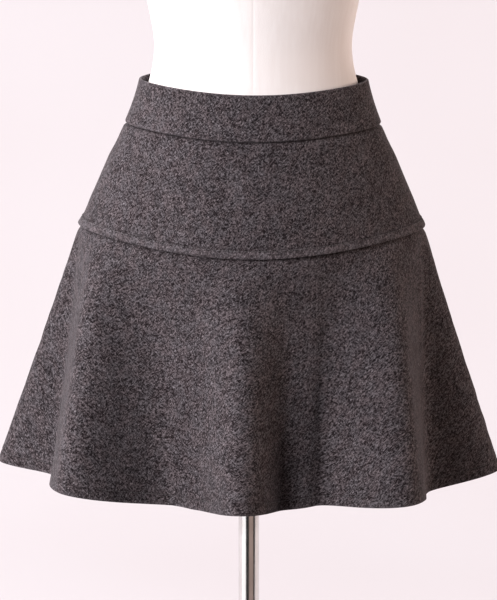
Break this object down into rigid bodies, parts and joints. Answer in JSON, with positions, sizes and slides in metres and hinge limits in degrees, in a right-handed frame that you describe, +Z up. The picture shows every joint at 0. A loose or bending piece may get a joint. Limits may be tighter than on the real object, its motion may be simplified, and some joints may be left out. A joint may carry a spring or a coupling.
{
  "type": "mini skirt on a dress form",
  "caption": "Flared mini skirt with a waistband, a topstitched hip yoke and a soft-folded flounce, on a limbless dress form with a pole and a round base.",
  "frame": {"origin": "centre of the base plate's underside, on the pole's axis", "axes": "+Z up along the pole, -Y towards the front of the skirt, +X to the right in the front view"},
  "size_m": [0.5323, 0.4159, 1.4984],
  "materials": {
    "wool": "brushed charcoal wool coating",
    "form_cover": "smooth off-white jersey",
    "steel": "polished",
    "zip_metal": "satin dark"
  },
  "bodies": {
    "skirt_on_form": {"waistband_front": "wool", "waistband_back_right": "wool", "waistband_back_left": "wool", "yoke_front": "wool", "yoke_back_right": "wool", "yoke_back_left": "wool", "flounce_front": "wool", "flounce_back_right": "wool", "flounce_back_left": "wool", "form_torso": "form_cover", "form_neck_cap": "steel", "form_pole": "steel", "form_base": "steel", "zip_slider": "zip_metal"},
    "pull_tab": {"zip_pull_tab": "zip_metal"}
  },
  "joints": [
    {"name": "pull_tab_swing", "type": "hinge", "parent": "skirt_on_form", "child": "pull_tab", "pos_m": [0.00495, 0.09081, 1.005], "axis": [1, -0.0017, -0.0006], "range_deg": [0, 160]}
  ]
}
